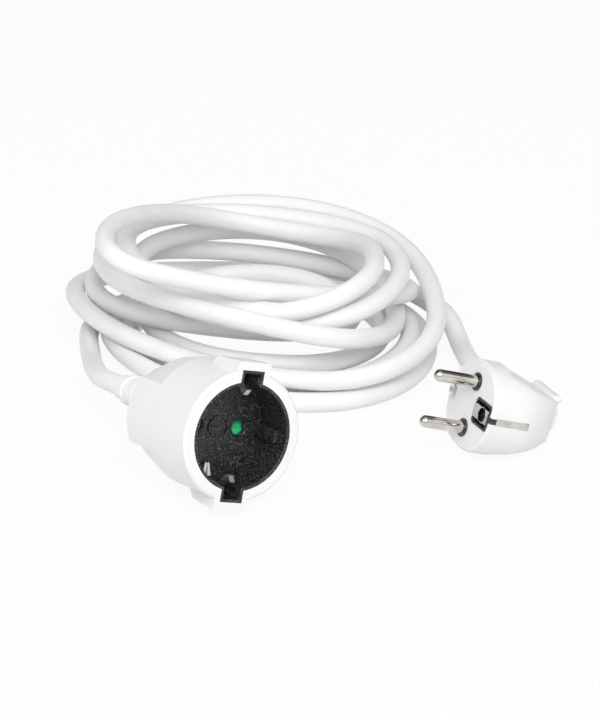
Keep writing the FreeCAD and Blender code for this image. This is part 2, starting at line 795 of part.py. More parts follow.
def socket_placement(names):
    """The socket's own box stands on the floor and is centred on the origin."""
    rotation = face_rotation(0, size("socket_tilt"), size("socket_roll"))
    place_nodes(names, Placement(Vector(), rotation))
    around = bounds(names)
    shift = Vector(-around.Center.x, -around.Center.y, -around.ZMin)
    place_nodes(names, Placement(shift, Rotation()))
    return Placement(shift, rotation)


def lay_placement(socket):
    turn = Rotation(Vector(0, 0, 1), -size("lay_turn"))
    face = Vector(socket.Base.x, socket.Base.y, 0)
    return Placement(face - turn.multVec(SOCKET_IN_LAY), turn)


def plug_placement(names, lay):
    """The plug lies on its flank, turned as it lies beside the coil."""
    rotation = face_rotation(-size("plug_turn"), size("plug_tilt"), size("plug_roll"))
    place_nodes(names, Placement(Vector(), rotation))
    face = lay.multVec(PLUG_IN_LAY)
    shift = Vector(face.x, face.y, -bounds(names).ZMin)
    place_nodes(names, Placement(shift, Rotation()))
    return Placement(shift, rotation)


# Cord

# Each turn of the coil passes four stations: left, back, right and front.
TURNS = [
    [(-87.5, 15.1, 4.2), (-15.8, 86, 4.2), (51.8, 13.5, 5), (2.7, -60.4, 4.2)],
    [(-78.8, 13.9, 6.6), (-18.8, 77.3, 5.3), (44.4, 18.8, 10.7), (4.8, -44.7, 5.6)],
    [(-70.1, 11.9, 4.1), (-19.3, 68.5, 5.5), (33.3, 15.2, 10.5), (-4, -40.5, 12.8)],
    [(-63.2, 21.8, 10.8), (-19.5, 65.2, 15.4), (21.4, 9, 15.2), (-26.2, -16.1, 19.3)],
    [(-85.1, 32.6, 18.2), (-51.5, 85.8, 19), (45.7, 21.4, 22.5), (-58.7, -45.9, 53.9)],
    [(-71.8, 5.7, 58.8), (-11.6, 66.1, 35.1), (30.1, -15.9, 46.3), (-17.6, -41.5, 35.4)],
    [(-72.3, 42.3, 40), (-9.1, 75.6, 37.2), (41.2, 3.6, 39.2), (-6.3, -40, 29.4)],
    [(-67.9, 44.3, 28.8), (-1.2, 77.7, 27.9), (39.4, 2.5, 17.7), (-6.8, -54.8, 33.3)],
    [(-82.1, 40.5, 34.1), (5.5, 90.4, 35.7), (55.7, -6.5, 21.9), (5, -56.7, 12.1)],
    [(-93.9, 35.5, 15.3), (-23.5, 100.8, 4.2), (52.2, 45.9, 10.4)],
]
COIL_IN = Vector(-0.1, 1, 0)
COIL_OUT = Vector(0.42, -0.9, 0)

# Routes in the lay frame, between the first and last points, which their neighbours give.
SOCKET_LEAD = [(-78.6, -66, 17), (-81.6, -52, 14), (-83.4, -38, 10.2), (-84.7, -21, 5.9)]
PLUG_LEAD = [(65.8, 8, 4.3), (67.6, -10, 5.6), (68.3, -26, 8.6)]


def biarc(start, leave, end, arrive):
    """Two arcs that meet smoothly between two places with given directions."""
    across = end - start
    turn = 2 * (1 - leave.dot(arrive))
    ahead = across.dot(leave + arrive)
    reach = (math.sqrt(ahead ** 2 + turn * across.dot(across)) - ahead) / turn
    first = start + leave * reach
    last = end - arrive * reach
    joint = (first + last) / 2
    return [arc_under(start, first, joint), arc_under(joint, last, end)]


def arc_under(start, corner, end):
    """The arc from start to end that leaves and arrives towards the corner between them."""
    middle = (start + end) / 2
    rise = (corner - middle).Length
    half = (end - start).Length / 2
    angle = math.atan2(rise, half)
    depth = half * math.tan(angle / 2)
    return Part.Arc(start, middle + (corner - middle).normalize() * depth, end).toShape()


def coil_wire():
    stations = [Vector(*station) for turn in TURNS for station in turn]
    straight = size("cord_diameter")
    headings = [(after - before).normalize() for before, after in zip(stations, stations[2:])]
    headings = [Vector(COIL_IN).normalize()] + headings + [Vector(COIL_OUT).normalize()]
    arcs = []
    for index in range(len(stations) - 1):
        arcs += biarc(stations[index], headings[index], stations[index + 1], headings[index + 1])
    start = stations[0] - headings[0] * straight
    end = stations[-1] + headings[-1] * straight
    edges = [Part.LineSegment(start, stations[0]).toShape()]
    edges += arcs
    edges.append(Part.LineSegment(stations[-1], end).toShape())
    radii = sorted(arc.Curve.Radius for arc in arcs)
    print("coil radii from", round(radii[0], 1), "to", round(radii[-1], 1))
    return Part.Wire(edges), start, end


def least_gap(wire, diameter):
    """The least distance between two stretches of the coil, from points along it."""
    points = wire.discretize(Distance=GAP_STEP)
    skip = int(GAP_APART / GAP_STEP)
    least = min((points[i] - points[j]).Length
                for i in range(len(points)) for j in range(i + skip, len(points)))
    return least - diameter


def cord(socket, plug, lay):
    diameter = size("cord_diameter")
    wire, coil_start, coil_end = coil_wire()
    print("coil least gap %.2f, lowest %.2f" % (least_gap(wire, diameter), wire.BoundBox.ZMin - diameter / 2))
    coil = name_node(tube("coil_tube", wire, diameter), "cord_coil")

    inverse = lay.inverse()
    socket_end = inverse.multVec(socket.multVec(Vector(0, 0, -size("housing_length + relief_length"))))
    socket_way = inverse.Rotation.multVec(socket.Rotation.multVec(Vector(0, 0, -1)))
    coil_way = Vector(COIL_IN).normalize()
    lead_in = [socket_end, socket_end + socket_way * size("socket_lead_run")]
    lead_in += [Vector(*point) for point in SOCKET_LEAD]
    lead_in += [coil_start - coil_way * size("lead_end_run"), coil_start]
    near = name_node(tube("near_lead", route_wire(lead_in, "socket lead"), diameter), "cord_lead_socket")

    plug_tail = Vector(-size("tail_reach + tail_relief_length"), 0, -size("tail_depth"))
    plug_end = inverse.multVec(plug.multVec(plug_tail))
    plug_way = inverse.Rotation.multVec(plug.Rotation.multVec(Vector(-1, 0, 0)))
    out_way = Vector(COIL_OUT).normalize()
    lead_out = [coil_end, coil_end + out_way * size("plug_lead_run")]
    lead_out += [Vector(*point) for point in PLUG_LEAD]
    lead_out += [plug_end + plug_way * size("lead_end_run"), plug_end]
    far = name_node(tube("far_lead", route_wire(lead_out, "plug lead"), diameter), "cord_lead_plug")
    for item in (coil, near, far):
        item.Placement = lay.multiply(item.Placement)
    print("cord length %.0f" % (wire.Length + sum_lengths(lead_in) + sum_lengths(lead_out)))


def sum_lengths(points):
    return sum((after - before).Length for before, after in zip(points, points[1:]))


def write_nodes():
    doc.recompute()
    for item in doc.Objects:
        if any(word in item.State for word in ("Invalid", "Error")):
            raise RuntimeError("failed: " + item.Label)
    for label, item in NODES.items():
        if item.Shape.isNull() or not item.Shape.isValid() or not item.Shape.Solids:
            raise RuntimeError("bad shape: " + label)
    os.makedirs("parts", exist_ok=True)
    for label, item in NODES.items():
        item.Shape.exportStep("parts/%s.step" % label)
        print("%-22s solids %d volume %.1f" % (label, len(item.Shape.Solids), item.Shape.Volume))


fill_sheet()
socket_housing()
socket_insert()
contact_carrier()
shutter()
shutter_spring()
contact("live", "-")
contact("neutral", "")
earth_bracket()
socket_wires()
sheath_in_socket()
socket_strain_relief()
socket_nodes = list(NODES)

core_outside = core_parts()
near_slot = near_strip_slot()
plug_core(core_outside, near_slot)
plug_body(core_outside, near_slot)
plug_pin("live", "pin_pitch / 2")
plug_pin("neutral", "-pin_pitch / 2")
plug_earth_sleeve()
plug_near_strap()
plug_far_strap()
plug_strain_relief()
sheath_in_plug()
plug_wires()
plug_nodes = [name for name in NODES if name not in socket_nodes]
doc.recompute()

socket_place = socket_placement(socket_nodes)
lay_place = lay_placement(socket_place)
plug_place = plug_placement(plug_nodes, lay_place)
print("socket face", socket_place.Base, "lay", lay_place.Base, "plug face", plug_place.Base)
cord(socket_place, plug_place, lay_place)
write_nodes()
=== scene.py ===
import json
import math

import bmesh
import bpy
import numpy as np
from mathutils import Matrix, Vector


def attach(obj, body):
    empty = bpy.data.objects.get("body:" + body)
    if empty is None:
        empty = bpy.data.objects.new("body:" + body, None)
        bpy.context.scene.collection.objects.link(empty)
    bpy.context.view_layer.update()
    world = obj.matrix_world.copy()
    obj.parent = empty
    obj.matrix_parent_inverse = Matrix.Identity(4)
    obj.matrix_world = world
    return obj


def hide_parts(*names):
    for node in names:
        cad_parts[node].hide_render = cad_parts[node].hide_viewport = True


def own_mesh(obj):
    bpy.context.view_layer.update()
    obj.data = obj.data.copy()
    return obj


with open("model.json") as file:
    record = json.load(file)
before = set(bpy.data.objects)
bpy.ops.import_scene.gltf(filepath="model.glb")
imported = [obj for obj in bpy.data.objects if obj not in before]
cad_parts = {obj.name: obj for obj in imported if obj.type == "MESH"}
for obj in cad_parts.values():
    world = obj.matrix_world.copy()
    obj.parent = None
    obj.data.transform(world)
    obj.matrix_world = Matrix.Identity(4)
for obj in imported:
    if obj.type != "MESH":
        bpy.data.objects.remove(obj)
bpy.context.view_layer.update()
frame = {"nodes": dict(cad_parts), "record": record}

mm = 0.001


# where things lie, in millimetres and degrees

layPose = dict(place=(105.117, 82.617, 0), turn=-32.6)
socketPose = dict(place=(0, -42.216, 29.363), turn=0, tilt=5.25, roll=15.5)
plugPose = dict(place=(103.990, -40.349, 20.185), turn=-99.15, tilt=17.3, roll=1.7)


def turnAbout(axis, degrees):
    c, s = math.cos(math.radians(degrees)), math.sin(math.radians(degrees))
    if axis == "x":
        return np.array([[1, 0, 0], [0, c, -s], [0, s, c]])
    return np.array([[c, -s, 0], [s, c, 0], [0, 0, 1]])


def placed(points, pose):
    # points of a pose's own axes, in metres of the frame
    turn = turnAbout("z", pose["turn"])
    if "tilt" in pose:
        turn = turn @ turnAbout("x", 90 - pose["tilt"]) @ turnAbout("z", -pose["roll"])
    return (np.asarray(points, float) @ turn.T + np.array(pose["place"])) * mm


# camera

camera = dict(lens=237.55, elevation=20.245, distance=1624.8)


def makeCamera():
    data = bpy.data.cameras.new("camera")
    data.sensor_fit = "HORIZONTAL"
    data.sensor_width = 36
    data.lens = camera["lens"]
    data.clip_end = 20
    item = bpy.data.objects.new("camera", data)
    bpy.context.scene.collection.objects.link(item)
    rise = math.radians(camera["elevation"])
    aim = placed([(0, 0, 0)], layPose)[0]
    eye = placed([(0, -camera["distance"] * math.cos(rise), camera["distance"] * math.sin(rise))], layPose)[0]
    item.location = eye
    item.rotation_euler = Vector(aim - eye).to_track_quat("-Z", "Y").to_euler()
    bpy.context.scene.camera = item
    print("camera at", [round(v, 3) for v in eye])


# materials

def newMaterial(name, colour, roughness, metallic=0.0):
    material = bpy.data.materials.new(name)
    material.use_nodes = True
    shader = material.node_tree.nodes["Principled BSDF"]
    shader.inputs["Base Color"].default_value = (*colour, 1)
    shader.inputs["Roughness"].default_value = roughness
    shader.inputs["Metallic"].default_value = metallic
    return material, material.node_tree, shader


def noiseOn(tree, scale, detail):
    where = tree.nodes.new("ShaderNodeTexCoord")
    noise = tree.nodes.new("ShaderNodeTexNoise")
    noise.inputs["Scale"].default_value = scale
    noise.inputs["Detail"].default_value = detail
    tree.links.new(where.outputs["Object"], noise.inputs["Vector"])
    return noise.outputs["Fac"]


def ranged(tree, value, low, high, start=0.3, end=0.7):
    spread = tree.nodes.new("ShaderNodeMapRange")
    spread.inputs["From Min"].default_value = start
    spread.inputs["From Max"].default_value = end
    spread.inputs["To Min"].default_value = low
    spread.inputs["To Max"].default_value = high
    tree.links.new(value, spread.inputs["Value"])
    return spread.outputs["Result"]


def bumpFrom(tree, shader, height, strength, distance):
    bump = tree.nodes.new("ShaderNodeBump")
    bump.inputs["Strength"].default_value = strength
    bump.inputs["Distance"].default_value = distance
    tree.links.new(height, bump.inputs["Height"])
    tree.links.new(bump.outputs["Normal"], shader.inputs["Normal"])


def tinted(tree, shader, factor, dark, light):
    mix = tree.nodes.new("ShaderNodeMix")
    mix.data_type = "RGBA"
    mix.inputs[6].default_value = (*dark, 1)
    mix.inputs[7].default_value = (*light, 1)
    tree.links.new(factor, mix.inputs[0])
    tree.links.new(mix.outputs[2], shader.inputs["Base Color"])


softInside = dict(radius=(0.0012, 0.001, 0.0008), scale=1.0)


def plasticMaterial(name, dark, light, rough, grain, depth, softness=0.0):
    # moulded plastic: a faint drift in tint, a fine grain in bump and gloss
    material, tree, shader = newMaterial(name, light, rough[0])
    drift = noiseOn(tree, scale=60, detail=4)
    tinted(tree, shader, ranged(tree, drift, 0, 1), dark, light)
    fine = noiseOn(tree, grain, detail=5)
    tree.links.new(ranged(tree, fine, rough[0], rough[1]), shader.inputs["Roughness"])
    bumpFrom(tree, shader, fine, 1.0, depth)
    if softness:
        shader.inputs["Subsurface Weight"].default_value = softness
        shader.inputs["Subsurface Radius"].default_value = softInside["radius"]
        shader.inputs["Subsurface Scale"].default_value = softInside["scale"]
    return material


def grainAndGlintMaterial(name, dark, light, rough, grain, depth):
    # black plastic with a coarse grain in bump and gloss; its crests are painted lighter grey as glints, a
    # painted highlight
    material, tree, shader = newMaterial(name, dark, rough[0])
    grainAndGlint = noiseOn(tree, grain, detail=1)
    # painted highlight: the grain's crests tinted from black towards grey, standing in for glints
    tinted(tree, shader, ranged(tree, grainAndGlint, 0, 1, start=0.52, end=0.74), dark, light)
    tree.links.new(ranged(tree, grainAndGlint, rough[1], rough[0]), shader.inputs["Roughness"])
    bumpFrom(tree, shader, grainAndGlint, 1.0, depth)
    return material


def metalMaterial(name, dark, light, rough, grain=900, depth=0.00001):
    # plated metal: faint blotches in tint and gloss, and a fine polish grain
    material, tree, shader = newMaterial(name, light, rough[0], 1.0)
    blotch = noiseOn(tree, scale=220, detail=4)
    tinted(tree, shader, ranged(tree, blotch, 0, 1), dark, light)
    tree.links.new(ranged(tree, blotch, rough[0], rough[1]), shader.inputs["Roughness"])
    bumpFrom(tree, shader, noiseOn(tree, grain, detail=3), 0.6, depth)
    return material


def stripedMaterial(name, base, stripe, rough=0.4, scale=70, waviness=0.4):
    # earth core: one colour with stripes of another
    material, tree, shader = newMaterial(name, base, rough)
    where = tree.nodes.new("ShaderNodeTexCoord")
    wave = tree.nodes.new("ShaderNodeTexWave")
    wave.inputs["Scale"].default_value = scale
    wave.inputs["Distortion"].default_value = waviness
    tree.links.new(where.outputs["Object"], wave.inputs["Vector"])
    tinted(tree, shader, ranged(tree, wave.outputs["Fac"], 0, 1, start=0.55, end=0.65), base, stripe)
    return material


plastics = dict(
    white_plastic=dict(name="whiteMoulding", dark=(0.83, 0.83, 0.838), light=(0.86, 0.86, 0.868),
                       rough=(0.38, 0.48), grain=2600, depth=0.000012),
    white_sheath=dict(name="whiteSheath", dark=(0.86, 0.86, 0.865), light=(0.90, 0.90, 0.905),
                      rough=(0.42, 0.55), grain=1800, depth=0.00002, softness=0.15),
    grey_plastic=dict(name="greyCarrier", dark=(0.3, 0.3, 0.31), light=(0.36, 0.36, 0.37),
                      rough=(0.5, 0.6), grain=1500, depth=0.00002),
    green_plastic=dict(name="greenShutter", dark=(0.03, 0.62, 0.24), light=(0.05, 0.74, 0.3),
                       rough=(0.35, 0.5), grain=1500, depth=0.00002),
    brown_core=dict(name="brownCore", dark=(0.16, 0.06, 0.02), light=(0.2, 0.08, 0.03),
                    rough=(0.4, 0.5), grain=900, depth=0.00001),
    blue_core=dict(name="blueCore", dark=(0.03, 0.12, 0.5), light=(0.04, 0.16, 0.58),
                   rough=(0.4, 0.5), grain=900, depth=0.00001))
metals = dict(
    nickel=dict(name="nickelPlate", dark=(0.55, 0.52, 0.48), light=(0.72, 0.69, 0.65), rough=(0.1, 0.2)),
    dull_nickel=dict(name="dullNickel", dark=(0.78, 0.76, 0.73), light=(0.88, 0.87, 0.85), rough=(0.38, 0.5)),
    brass=dict(name="plainBrass", dark=(0.6, 0.42, 0.16), light=(0.75, 0.56, 0.26), rough=(0.25, 0.35)),
    spring_steel=dict(name="springSteel", dark=(0.5, 0.5, 0.52), light=(0.62, 0.62, 0.64),
                      rough=(0.25, 0.35)))
# the lighter grey is painted highlight: the glint colour put on the grain's crests
blackLook = dict(name="blackMoulding", dark=(0.006, 0.006, 0.007), light=(0.16, 0.16, 0.16),
                 rough=(0.2, 0.34), grain=1700, depth=0.00025)
earthLook = dict(name="earthCore", base=(0.09, 0.35, 0.06), stripe=(0.75, 0.65, 0.04))


def makeMaterials():
    made = {slot: plasticMaterial(**look) for slot, look in plastics.items()}
    made.update({slot: metalMaterial(**look) for slot, look in metals.items()})
    made["black_plastic"] = grainAndGlintMaterial(**blackLook)
    made["earth_core"] = stripedMaterial(**earthLook)
    print("materials", len(made))
    return made


def dressNodes(materials):
    for part in frame["record"]["subparts"]:
        item = frame["nodes"][part["node"]]
        for slot in item.material_slots:
            slot.material = materials[part["material_slot"]]


# cord

cordShape = dict(diameter=8.0, stepsPerQuarter=8, ahead=8.0)

# Each turn of the coil passes four stations: left, back, right and front.
coilTurns = [
    [(-87.5, 15.1, 4.2), (-15.8, 86, 4.2), (51.8, 13.5, 5), (2.7, -60.4, 4.2)],
    [(-78.8, 13.9, 6.6), (-18.8, 77.3, 5.3), (44.4, 18.8, 10.7), (4.8, -44.7, 5.6)],
    [(-70.1, 11.9, 4.1), (-19.3, 68.5, 5.5), (33.3, 15.2, 10.5), (-4, -40.5, 12.8)],
    [(-63.2, 21.8, 10.8), (-19.5, 65.2, 15.4), (21.4, 9, 15.2), (-26.2, -16.1, 19.3)],
    [(-85.1, 32.6, 18.2), (-51.5, 85.8, 19), (45.7, 21.4, 22.5), (-58.7, -45.9, 53.9)],
    [(-71.8, 5.7, 58.8), (-11.6, 66.1, 35.1), (30.1, -15.9, 46.3), (-17.6, -41.5, 35.4)],
    [(-72.3, 42.3, 40), (-9.1, 75.6, 37.2), (41.2, 3.6, 39.2), (-6.3, -40, 29.4)],
    [(-67.9, 44.3, 28.8), (-1.2, 77.7, 27.9), (39.4, 2.5, 17.7), (-6.8, -54.8, 33.3)],
    [(-82.1, 40.5, 34.1), (5.5, 90.4, 35.7), (55.7, -6.5, 21.9), (5, -56.7, 12.1)],
    [(-93.9, 35.5, 15.3), (-23.5, 100.8, 4.2), (52.2, 45.9, 10.4)],
]
coilIn = (-0.1, 1, 0)
coilOut = (0.42, -0.9, 0)
cordEnds = dict(socket=(87, 99), plug=(53, 39), plugDepth=30, beforeCoil=14, afterCoil=15)
socketLead = [(-78.5, -66, 17.3), (-81.0, -52, 14.7), (-82.6, -38, 11.3), (-84.0, -21, 6.5)]
plugLead = [(65.8, 8, 4.3), (67.6, -10, 5.6), (68.3, -26, 8.6)]


def unit(vector):
    vector = np.asarray(vector, float)
    return vector / np.linalg.norm(vector)


def coilPoints():
    # a cubic curve from station to station, with two equal handles along the headings, as a round arc has
    stations = np.array([station for turn in coilTurns for station in turn], float)
    headings = np.concatenate([[coilIn], stations[2:] - stations[:-2], [coilOut]])
    headings /= np.linalg.norm(headings, axis=1)[:, None]
    start, end = stations[:-1, None], stations[1:, None]
    chord = stations[1:] - stations[:-1]
    bend = 2 * (1 - np.sum(headings[:-1] * headings[1:], axis=1))
    ahead = np.sum(chord * (headings[:-1] + headings[1:]), axis=1)
    reach = 4 / 3 * (np.sqrt(ahead ** 2 + bend * np.sum(chord ** 2, axis=1)) - ahead) / bend
    leave = headings[:-1, None] * reach[:, None, None]
    arrive = headings[1:, None] * reach[:, None, None]
    t = (np.arange(cordShape["stepsPerQuarter"]) / cordShape["stepsPerQuarter"])[None, :, None]
    points = ((1 - t) ** 3 * start + 3 * (1 - t) ** 2 * t * (start + leave)
              + 3 * (1 - t) * t ** 2 * (end - arrive) + t ** 3 * end)
    points = points.reshape(-1, 3)
    before = stations[0] - headings[0] * cordShape["ahead"]
    after = stations[-1] + headings[-1] * cordShape["ahead"]
    return before, np.concatenate([points, stations[-1:]]), after


def inLay(points):
    # metres of the frame, back in millimetres of the lay frame
    turn = turnAbout("z", layPose["turn"])
    return (np.asarray(points) / mm - np.array(layPose["place"])) @ turn


def cordRun():
    # out of the socket, round the coil and into the plug
    ends = cordEnds
    socketEnd = inLay(placed([(0, 0, -depth) for depth in ends["socket"]], socketPose))
    plugEnd = inLay(placed([(-reach, 0, -ends["plugDepth"]) for reach in ends["plug"]], plugPose))
    before, coil, after = coilPoints()
    return np.concatenate([
        socketEnd, socketLead, [before - ends["beforeCoil"] * unit(coilIn)], [before], coil, [after],
        [after + ends["afterCoil"] * unit(coilOut)], plugLead, plugEnd])


def makeCord(materials):
    route = cordRun()
    points = placed(route, layPose)
    curve = bpy.data.curves.new("cord", "CURVE")
    curve.dimensions = "3D"
    curve.bevel_depth = cordShape["diameter"] / 2 * mm
    curve.bevel_resolution = 6
    curve.resolution_u = 6
    curve.use_fill_caps = True
    spline = curve.splines.new("NURBS")
    spline.points.add(len(points) - 1)
    spline.points.foreach_set("co", np.c_[points, np.ones(len(points))].ravel())
    spline.order_u = 3
    spline.use_endpoint_u = True
    item = bpy.data.objects.new("cord", curve)
    bpy.context.scene.collection.objects.link(item)
    curve.materials.append(materials["white_sheath"])
    length = np.linalg.norm(np.diff(points, axis=0), axis=1).sum()
    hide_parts("cord_lead_socket", "cord_coil", "cord_lead_plug")
    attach(item, "cord_set")
    print("cord points", len(points), "through its points %.3f m" % length)
    return item, points


# meshes from rings of points

def ringMesh(name, parts):
    # each part is an array of rings, rings by points by x, y, z in millimetres: a capped part
    # has a flat face at both ends, the others close on themselves
    corners, faces = [], []
    for rings, capped in parts:
        count, around = rings.shape[:2]
        number = np.arange(count * around).reshape(count, around) + sum(len(part) for part in corners)
        low = number[:-1] if capped else number
        high = number[1:] if capped else np.roll(number, -1, axis=0)
        quads = np.stack([low, np.roll(low, -1, axis=1), np.roll(high, -1, axis=1), high], axis=-1)
        faces += quads.reshape(-1, 4).tolist()
        if capped:
            faces += [number[0][::-1].tolist(), number[-1].tolist()]
        corners.append(rings.reshape(-1, 3))
    mesh = bpy.data.meshes.new(name)
    mesh.from_pydata(np.concatenate(corners).tolist(), [], faces)
    return mesh


def facedOut(mesh):
    # every closed part gets its faces turned outwards
    whole = bmesh.new()
    whole.from_mesh(mesh)
    bmesh.ops.recalc_face_normals(whole, faces=whole.faces)
    whole.to_mesh(mesh)
    whole.free()


def makePiece(name, parts, pose, node, material, smooth=30):
    mesh = ringMesh(name, parts)
    points = np.empty(len(mesh.vertices) * 3)
    mesh.vertices.foreach_get("co", points)
    mesh.vertices.foreach_set("co", placed(points.reshape(-1, 3), pose).ravel())
    facedOut(mesh)
    mesh.materials.append(material)
    mesh.shade_smooth()
    mesh.set_sharp_from_angle(angle=math.radians(smooth))
    item = bpy.data.objects.new(name, mesh)
    bpy.context.scene.collection.objects.link(item)
    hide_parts(node)
    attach(item, "cord_set")
    print(name, "faces", len(mesh.polygons))
    return item


def circleRing(radius, z, count, x=0, y=0):
    angle = 2 * np.pi * np.arange(count) / count
    return np.c_[x + radius * np.cos(angle), y + radius * np.sin(angle), np.full(count, z)]


def roundedRing(halfX, halfY, corner, z, count, x=0, y=0):
    # a rectangle with round corners, walked by its angle as seen from its middle
    angle = 2 * np.pi * np.arange(count) / count
    c, s = np.cos(angle), np.sin(angle)
    flat = np.minimum(halfX / np.maximum(abs(c), 1e-9), halfY / np.maximum(abs(s), 1e-9))
    inX, inY = halfX - corner, halfY - corner
    # where the ray leaves a corner's circle
    along = abs(c) * inX + abs(s) * inY
    bow = along + np.sqrt(np.maximum(along ** 2 - inX ** 2 - inY ** 2 + corner ** 2, 0))
    inCorner = (flat * abs(c) > inX) & (flat * abs(s) > inY)
    reach = np.where(inCorner, bow, flat)
    return np.c_[x + reach * c, y + reach * s, np.full(count, z)]


def blockRings(x, y, z, edge=0.15):
    # a box from its ranges, with its upper and lower edges rounded a little
    middle = (np.mean(x), np.mean(y))
    half = ((x[1] - x[0]) / 2, (y[1] - y[0]) / 2)
    rings = []
    for height, inset in ((z[0], edge), (z[0] + edge, 0), (z[1] - edge, 0), (z[1], edge)):
        rings.append(roundedRing(half[0] - inset, half[1] - inset, edge, height, 32, *middle))
    return np.array(rings)


# plug

plugShape = dict(
    radius=18.3, around=144, rim=0.8, nearEnd=3.2, farEnd=13.4, bendStart=14.0, farStart=18.0, length=36.0,
    bendPower=1.9, edgePower=26, rearRound=0.7,
    flats=[(0, 17.0), (1.4, 17.0), (1.7, 18.1), (9.2, 18.1), (9.7, 16.5), (31, 9.2), (36, 8.8)],
    depths=[0.8, 1.4, 1.7, 4, 9.2, 9.7, 12, 14, 16, 18, 20, 22, 24, 26, 28, 30, 32, 33.5, 34.6, 35.3])
frameShape = dict(x=10.4, halfX=6.4, halfY=5.3, corner=1.6, wall=1.15, rise=0.3, floor=-2.3, deep=-15.2,
                  hole=3.25, sleeveX=10.0, count=144)


def plugOutline(depth, inset=0.0):
    # the distance from the axis at each angle: an ellipse that shortens towards the rear,
    # more on the near side, cut by two flats, with the meeting edges softened
    shape = plugShape
    angle = 2 * np.pi * np.arange(shape["around"]) / shape["around"]
    c, s = np.cos(angle), np.sin(angle)
    bend = max(depth - shape["bendStart"], 0) / (shape["length"] - shape["bendStart"])
    near = shape["nearEnd"] + (shape["radius"] - shape["nearEnd"]) * (1 - bend ** shape["bendPower"])
    back = max(depth - shape["farStart"], 0) / (shape["length"] - shape["farStart"])
    far = shape["radius"] + (shape["farEnd"] - shape["radius"]) * back
    wide = np.where(c > 0, near, far)
    ellipse = 1 / np.sqrt((c / wide) ** 2 + (s / shape["radius"]) ** 2)
    flat = np.interp(depth, *zip(*shape["flats"])) / np.maximum(abs(s), 1e-3)
    power = shape["edgePower"]
    reach = (ellipse ** -power + flat ** -power) ** (-1 / power) - inset
    return np.c_[reach * c, reach * s, np.full(len(c), -depth)]


def plugHead():
    # from the rear up to the face, and down into the recess for the earth hole
    shape, mouth, count = plugShape, frameShape, plugShape["around"]
    rim, rear = shape["rim"], shape["rearRound"]
    quarter = np.radians(np.linspace(0, 90, 6))
    rings = []
    for angle in quarter[::-1]:
        rings.append(plugOutline(shape["length"] - rear * (1 - np.sin(angle)), rear * (1 - np.cos(angle))))
    rings += [plugOutline(depth) for depth in reversed(shape["depths"])]
    for angle in quarter[1:]:
        rings.append(plugOutline(rim * (1 - np.sin(angle)), rim * (1 - np.cos(angle))))
    edge = roundedRing(mouth["halfX"], mouth["halfY"], mouth["corner"], 0, count, mouth["x"])
    rings += [edge, edge + np.array([0, 0, mouth["deep"] - 0.1])]
    return np.array(rings)


tailShape = dict(radius=8.4, start=2.0, reach=20.5, depth=30.0, edge=1.0, around=48)
lipBlock = dict(x=(-14.2, 5.4), y=(7.0, 10.4), z=(-35.6, -32.0), edge=0.5)


def makePlugBody(materials):
    # the head, the round tail that the cord leaves by, and the lip on its rear
    tail, edge = tailShape, tailShape["edge"]
    profile = [(tail["start"], 0.5), (tail["start"] - 0.5, 0)]
    for angle in np.radians(np.linspace(0, 90, 6)):
        profile.append((-tail["reach"] + edge * (1 - np.sin(angle)), edge * (1 - np.cos(angle))))
    rings = []
    for x, inset in profile:
        circle = circleRing(tail["radius"] - inset, 0, tail["around"])
        rings.append(np.c_[np.full(tail["around"], x), circle[:, 0], circle[:, 1] - tail["depth"]])
    parts = [(plugHead(), True), (np.array(rings), True), (blockRings(**lipBlock), True)]
    return makePiece("plugBody", parts, plugPose, "plug_body",
                     materials["white_plastic"], 40)


coreShape = dict(groove=dict(x=(16.5, 18.5), y=(-1.15, 1.15), z=(-2.6, 0.15)), pinY=9.5, around=64,
                 collar=[(3.6, 0.0), (3.6, 0.42), (3.4, 0.6), (2.5, 0.6), (2.42, 0.5), (2.42, 0.0)])


def makePlugCore(materials):
    # the black frame round the earth recess, the block where the strip's groove starts, and the pins' collars
    shape, rise, wall = frameShape, frameShape["rise"], frameShape["wall"]
    frameRings = []
    for z, inset in ((shape["deep"], 0), (rise - 0.2, 0), (rise, 0.2), (rise, wall - 0.2), (rise - 0.2, wall),
                     (shape["floor"], wall)):
        frameRings.append(roundedRing(shape["halfX"] - inset, shape["halfY"] - inset,
                                      shape["corner"] - 0.7 * inset, z, shape["count"], shape["x"]))
    for z in (shape["floor"], shape["deep"] + 0.2):
        frameRings.append(circleRing(shape["hole"], z, shape["count"], shape["sleeveX"]))
    parts = [(np.array(frameRings), True), (blockRings(**coreShape["groove"]), True)]
    for y in (coreShape["pinY"], -coreShape["pinY"]):
        collar = [circleRing(radius, z, coreShape["around"], 0, y) for radius, z in coreShape["collar"]]
        parts.append((np.array(collar), False))
    return makePiece("plugCore", parts, plugPose, "plug_core",
                     materials["black_plastic"], 35)


plateShape = dict(x=9.7, halfX=5.9, halfY=2.8, corner=0.3, holeX=11.4, hole=2.85, around=96,
                  outside=[(-0.3, 0.0), (0.35, 0.0), (0.5, 0.15)],
                  inside=[(0.5, 0.3), (0.7, 0.15), (0.6, 0.0), (-0.3, 0.0)])
nearStrip = dict(x=(17.9, 18.42), y=(-1.45, 1.45), z=(-17.0, -2.1))
farBlocks = [dict(x=(-15.7, -12.9), y=(-2.75, 2.75), z=(-0.3, 0.12), edge=0.08),
             dict(x=(-18.2, -15.6), y=(-0.7, 0.7), z=(-0.3, 0.1), edge=0.08),
             dict(x=(-18.45, -17.9), y=(-1.5, 1.5), z=(-14.0, 0.1))]


